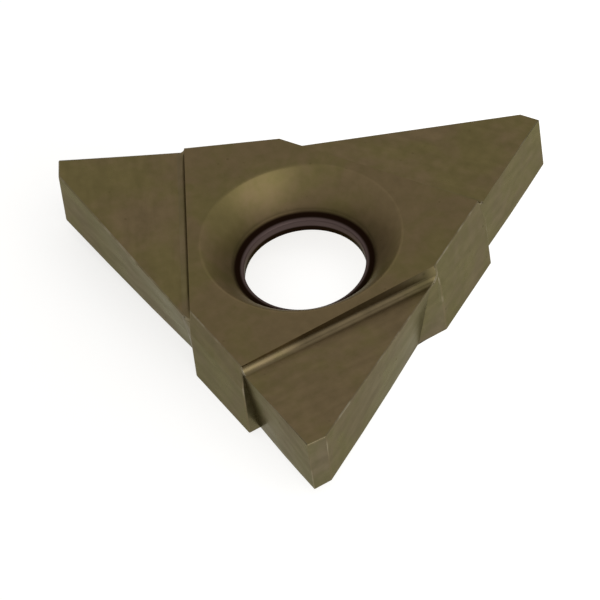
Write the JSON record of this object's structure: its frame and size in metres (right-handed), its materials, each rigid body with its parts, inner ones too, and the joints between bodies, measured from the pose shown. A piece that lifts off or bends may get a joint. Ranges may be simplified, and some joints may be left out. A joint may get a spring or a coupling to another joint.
{
  "type": "indexable carbide cutting insert",
  "caption": "Triangular screw-on carbide cutting insert with ground tips, stepped locating blocks on its sides and a countersunk screw hole.",
  "frame": {"origin": "centre of the screw hole, half-way between the seat face and the top land", "axes": "+Z along the screw hole, from the seat face to the top land; -Y is the outward direction of the locating block of side 0"},
  "size_m": [0.0158, 0.014, 0.003],
  "materials": {
    "coated_carbide": "satin ceramic-type coating in olive brown on sintered carbide"
  },
  "bodies": {
    "root": {"insert_body": "coated_carbide"}
  },
  "joints": []
}
